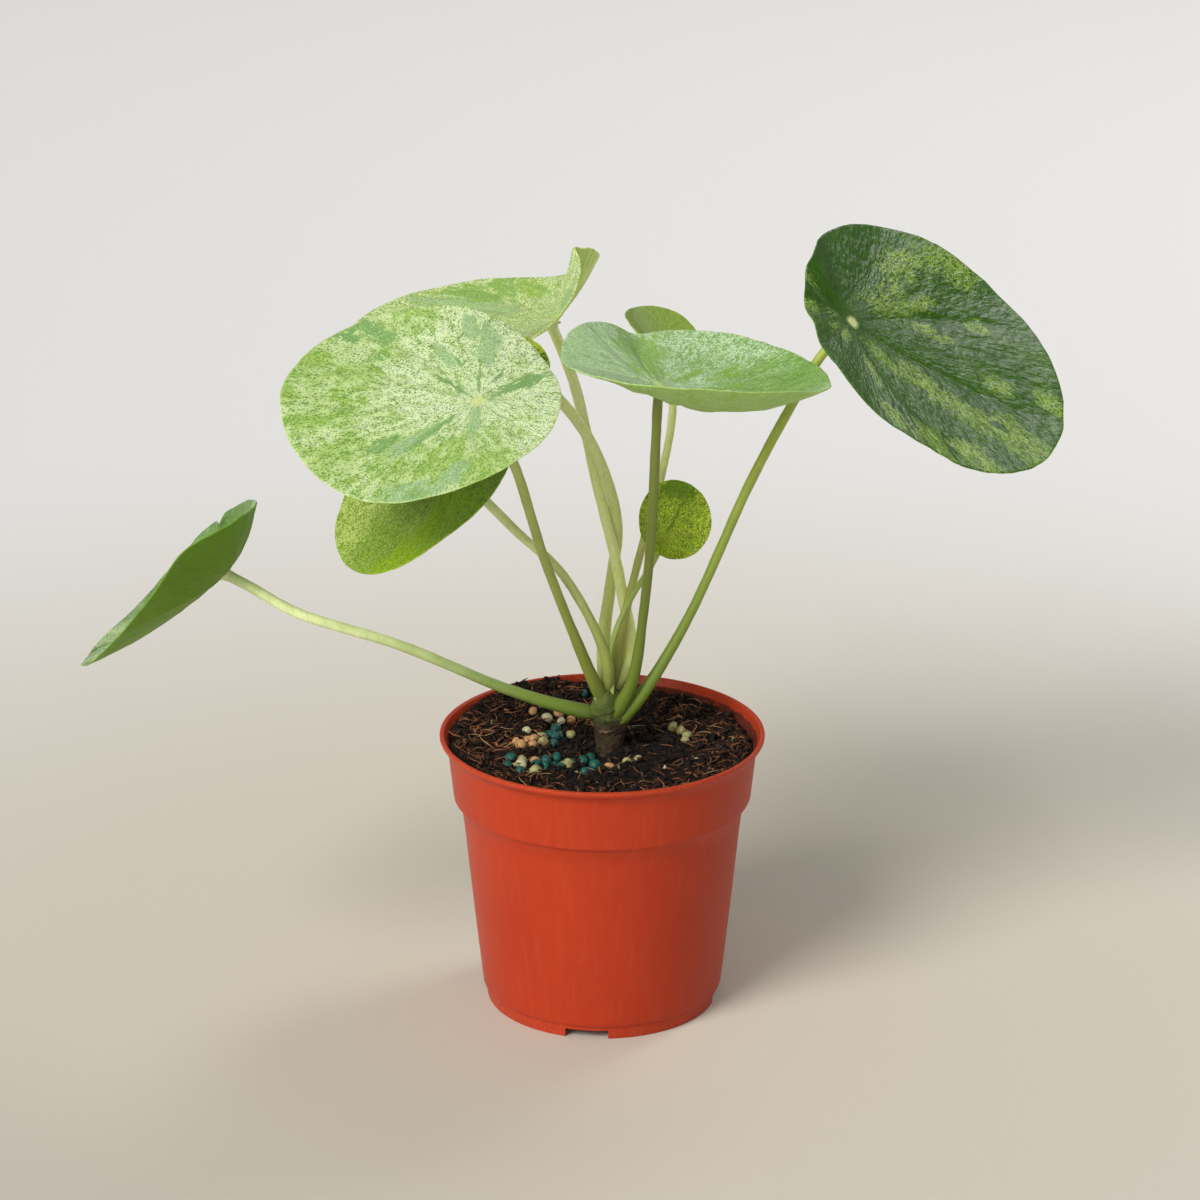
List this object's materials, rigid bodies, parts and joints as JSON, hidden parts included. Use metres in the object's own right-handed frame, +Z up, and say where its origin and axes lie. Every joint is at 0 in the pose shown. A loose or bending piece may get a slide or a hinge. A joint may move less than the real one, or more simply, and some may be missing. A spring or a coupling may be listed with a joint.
{
  "type": "potted pilea plant",
  "caption": "Variegated pilea with round speckled leaves on long stalks, growing from a short stem in a terracotta-red plastic nursery pot of dark potting soil.",
  "frame": {"origin": "on the ground, under the middle of the whole plant's width and depth", "axes": "+Z up; +X to the right and +Y away from the viewer as the plant is pictured, so the front of the pot faces -Y"},
  "size_m": [0.3056, 0.1574, 0.2411],
  "materials": {
    "pot_plastic": "satin",
    "soil": "matte",
    "stem_bark": "matte",
    "stalk": "satin",
    "leaf": "satin",
    "leaf_pale": "satin",
    "leaf_dark": "satin",
    "leaf_young": "satin"
  },
  "bodies": {
    "root": {"pot": "pot_plastic", "soil": "soil", "stem": "stem_bark", "stalk_far_left": "stalk", "stalk_front_left": "stalk", "stalk_right": "stalk", "stalk_centre": "stalk", "stalk_lower_left": "stalk", "stalk_small_round": "stalk", "stalk_rear_small": "stalk", "stalk_rear_left": "stalk", "stalk_shaded": "stalk", "blade_far_left": "leaf", "blade_front_left": "leaf_pale", "blade_right": "leaf_dark", "blade_centre": "leaf", "blade_lower_left": "leaf", "blade_small_round": "leaf_young", "blade_rear_small": "leaf_young", "blade_rear_left": "leaf_pale", "blade_shaded": "leaf_young"}
  },
  "joints": []
}
